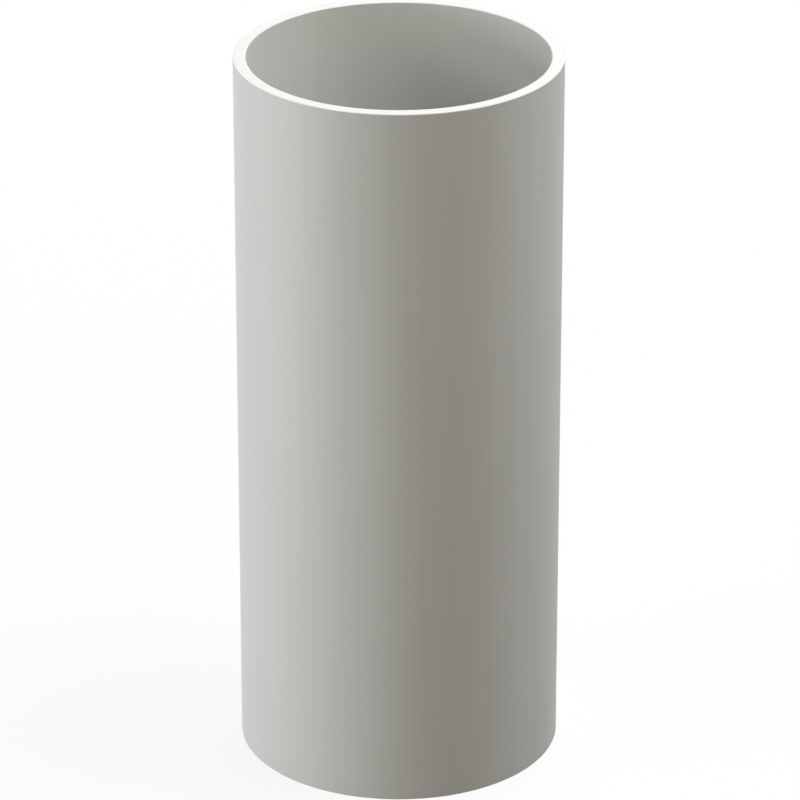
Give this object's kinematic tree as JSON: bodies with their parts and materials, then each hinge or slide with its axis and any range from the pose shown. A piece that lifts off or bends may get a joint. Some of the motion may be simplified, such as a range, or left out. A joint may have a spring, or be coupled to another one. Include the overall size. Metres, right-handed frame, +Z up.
{
  "type": "downpipe",
  "caption": "Round white plastic rainwater downpipe, a short straight length with plain square-cut ends, that carries water down from a gutter",
  "frame": {"origin": "centre of the lower end, on the plane of the end face that it stands on", "axes": "+Z up along the pipe's axis; the pipe is round, so X and Y are any two square directions"},
  "size_m": [0.11, 0.11, 0.25],
  "materials": {
    "pvc": "white rigid PVC as it leaves the extruder, satin on the drawn wall and matt on the sawn ends"
  },
  "bodies": {
    "root": {"pipe": "pvc"}
  },
  "joints": []
}
